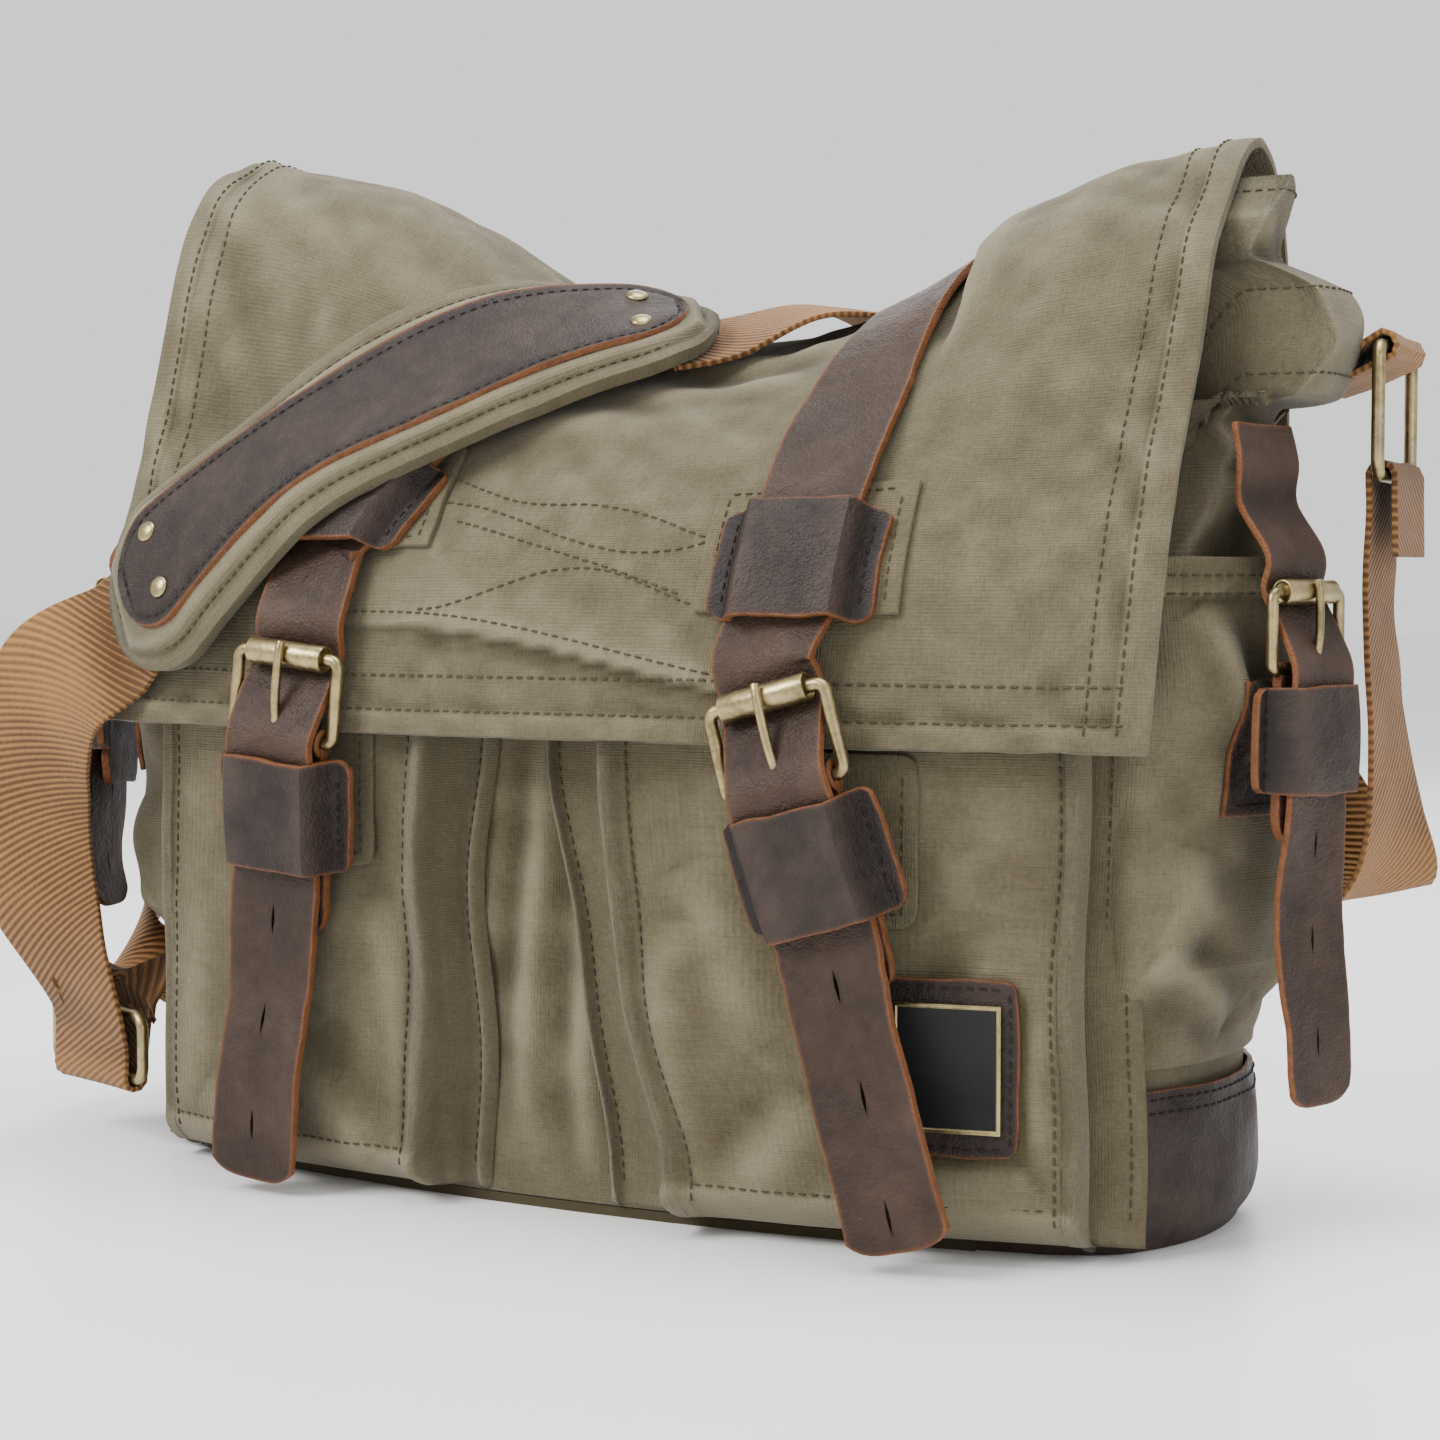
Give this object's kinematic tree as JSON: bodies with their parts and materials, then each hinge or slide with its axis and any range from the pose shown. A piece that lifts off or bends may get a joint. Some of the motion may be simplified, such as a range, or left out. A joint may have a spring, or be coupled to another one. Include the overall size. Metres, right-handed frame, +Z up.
{
  "type": "messenger bag",
  "caption": "Canvas messenger bag with a stand-up flap, buckled leather straps, bellows pockets, leather base corners and a padded shoulder strap.",
  "frame": {"origin": "on the surface that the bag stands on, under the middle of the body's width", "axes": "+Z up, front of the bag towards -Y, +X to the right seen from the front"},
  "size_m": [0.4813, 0.1939, 0.345],
  "materials": {
    "canvas": "washed olive cotton canvas, soft and faded along its seams",
    "leather": "brown waxed leather with raw edges",
    "dark_leather": "dark waxed leather with raw edges",
    "webbing": "tan cotton webbing with a diagonal rib",
    "brass": "antique brass wire and rollers",
    "plate": "dark plate with a plain bright border"
  },
  "bodies": {
    "bag": {"bottom_panel": "canvas", "front_panel": "canvas", "back_panel": "canvas", "side_gusset_left": "canvas", "side_gusset_right": "canvas", "base_boot_left": "dark_leather", "base_boot_right": "dark_leather", "front_pocket_left": "canvas", "front_pocket_right": "canvas", "side_pocket_left": "canvas", "side_pocket_right": "canvas", "pocket_patch_left": "canvas", "pocket_patch_right": "canvas", "label_patch": "dark_leather", "label_plate": "plate", "anchor_tab_left": "webbing", "anchor_tab_right": "webbing", "side_strap_left": "leather", "side_strap_right": "leather", "side_buckle_tab_left": "leather", "side_buckle_tab_right": "leather", "side_backing_left": "dark_leather", "side_backing_right": "dark_leather", "side_keeper_left": "dark_leather", "side_keeper_right": "dark_leather", "side_buckle_frame_left": "brass", "side_buckle_frame_right": "brass", "webbing_left": "webbing", "webbing_right": "webbing", "strap_slider": "brass"},
    "flap": {"flap_panel": "canvas", "flap_patch_left": "canvas", "flap_patch_right": "canvas", "flap_keeper_left": "dark_leather", "flap_keeper_right": "dark_leather", "front_strap_left": "leather", "front_strap_right": "leather", "buckle_frame_left": "brass", "buckle_frame_right": "brass", "buckle_tab_left": "leather", "buckle_tab_right": "leather", "strap_keeper_left": "dark_leather", "strap_keeper_right": "dark_leather", "shoulder_pad": "canvas", "pad_leather": "dark_leather", "pad_rivet_1": "brass", "pad_rivet_2": "brass", "pad_rivet_3": "brass", "pad_rivet_4": "brass"},
    "roller_left": {"roller_left": "brass"},
    "prong_left": {"prong_left": "brass"},
    "side_roller_left": {"side_roller_left": "brass"},
    "side_prong_left": {"side_prong_left": "brass"},
    "strap_ring_left": {"strap_ring_left": "brass"},
    "roller_right": {"roller_right": "brass"},
    "prong_right": {"prong_right": "brass"},
    "side_roller_right": {"side_roller_right": "brass"},
    "side_prong_right": {"side_prong_right": "brass"},
    "strap_ring_right": {"strap_ring_right": "brass"}
  },
  "joints": [
    {"name": "flap_hinge", "type": "hinge", "parent": "bag", "child": "flap", "pos_m": [0, 0.0505, 0.234], "axis": [-1, 0, 0], "range_deg": [0, 130], "deforming": ["webbing_left", "webbing_right"]},
    {"name": "prong_left_lift", "type": "hinge", "parent": "flap", "child": "prong_left", "pos_m": [-0.089, -0.10085, 0.146], "axis": [0.9945, 0, -0.1045], "range_deg": [0, 40]},
    {"name": "roller_left_spin", "type": "hinge", "parent": "flap", "child": "roller_left", "pos_m": [-0.08628, -0.10085, 0.17186], "axis": [0.9945, 0, -0.1045], "continuous": true},
    {"name": "side_prong_left_lift", "type": "hinge", "parent": "bag", "child": "side_prong_left", "pos_m": [-0.21517, -0.02849, 0.17], "axis": [0.3157, -0.9489, 0], "range_deg": [0, 40]},
    {"name": "side_roller_left_spin", "type": "hinge", "parent": "bag", "child": "side_roller_left", "pos_m": [-0.21517, -0.02849, 0.1921], "axis": [0.3157, -0.9489, 0], "continuous": true},
    {"name": "strap_ring_left_swing", "type": "hinge", "parent": "bag", "child": "strap_ring_left", "pos_m": [-0.223, 0.036, 0.264], "axis": [-0.0872, -0.9962, 0], "range_deg": [-20, 12], "deforming": ["webbing_left"]},
    {"name": "prong_right_lift", "type": "hinge", "parent": "flap", "child": "prong_right", "pos_m": [0.087, -0.10104, 0.137], "axis": [0.9659, 0, 0.2588], "range_deg": [0, 40]},
    {"name": "roller_right_spin", "type": "hinge", "parent": "flap", "child": "roller_right", "pos_m": [0.08027, -0.10104, 0.16211], "axis": [0.9659, 0, 0.2588], "continuous": true},
    {"name": "side_prong_right_lift", "type": "hinge", "parent": "bag", "child": "side_prong_right", "pos_m": [0.21517, -0.02849, 0.17], "axis": [0.3157, 0.9489, 0], "range_deg": [0, 40]},
    {"name": "side_roller_right_spin", "type": "hinge", "parent": "bag", "child": "side_roller_right", "pos_m": [0.21517, -0.02849, 0.1921], "axis": [0.3157, 0.9489, 0], "continuous": true},
    {"name": "strap_ring_right_swing", "type": "hinge", "parent": "bag", "child": "strap_ring_right", "pos_m": [0.223, 0.036, 0.264], "axis": [-0.0872, 0.9962, 0], "range_deg": [-20, 12], "deforming": ["webbing_right"]}
  ]
}
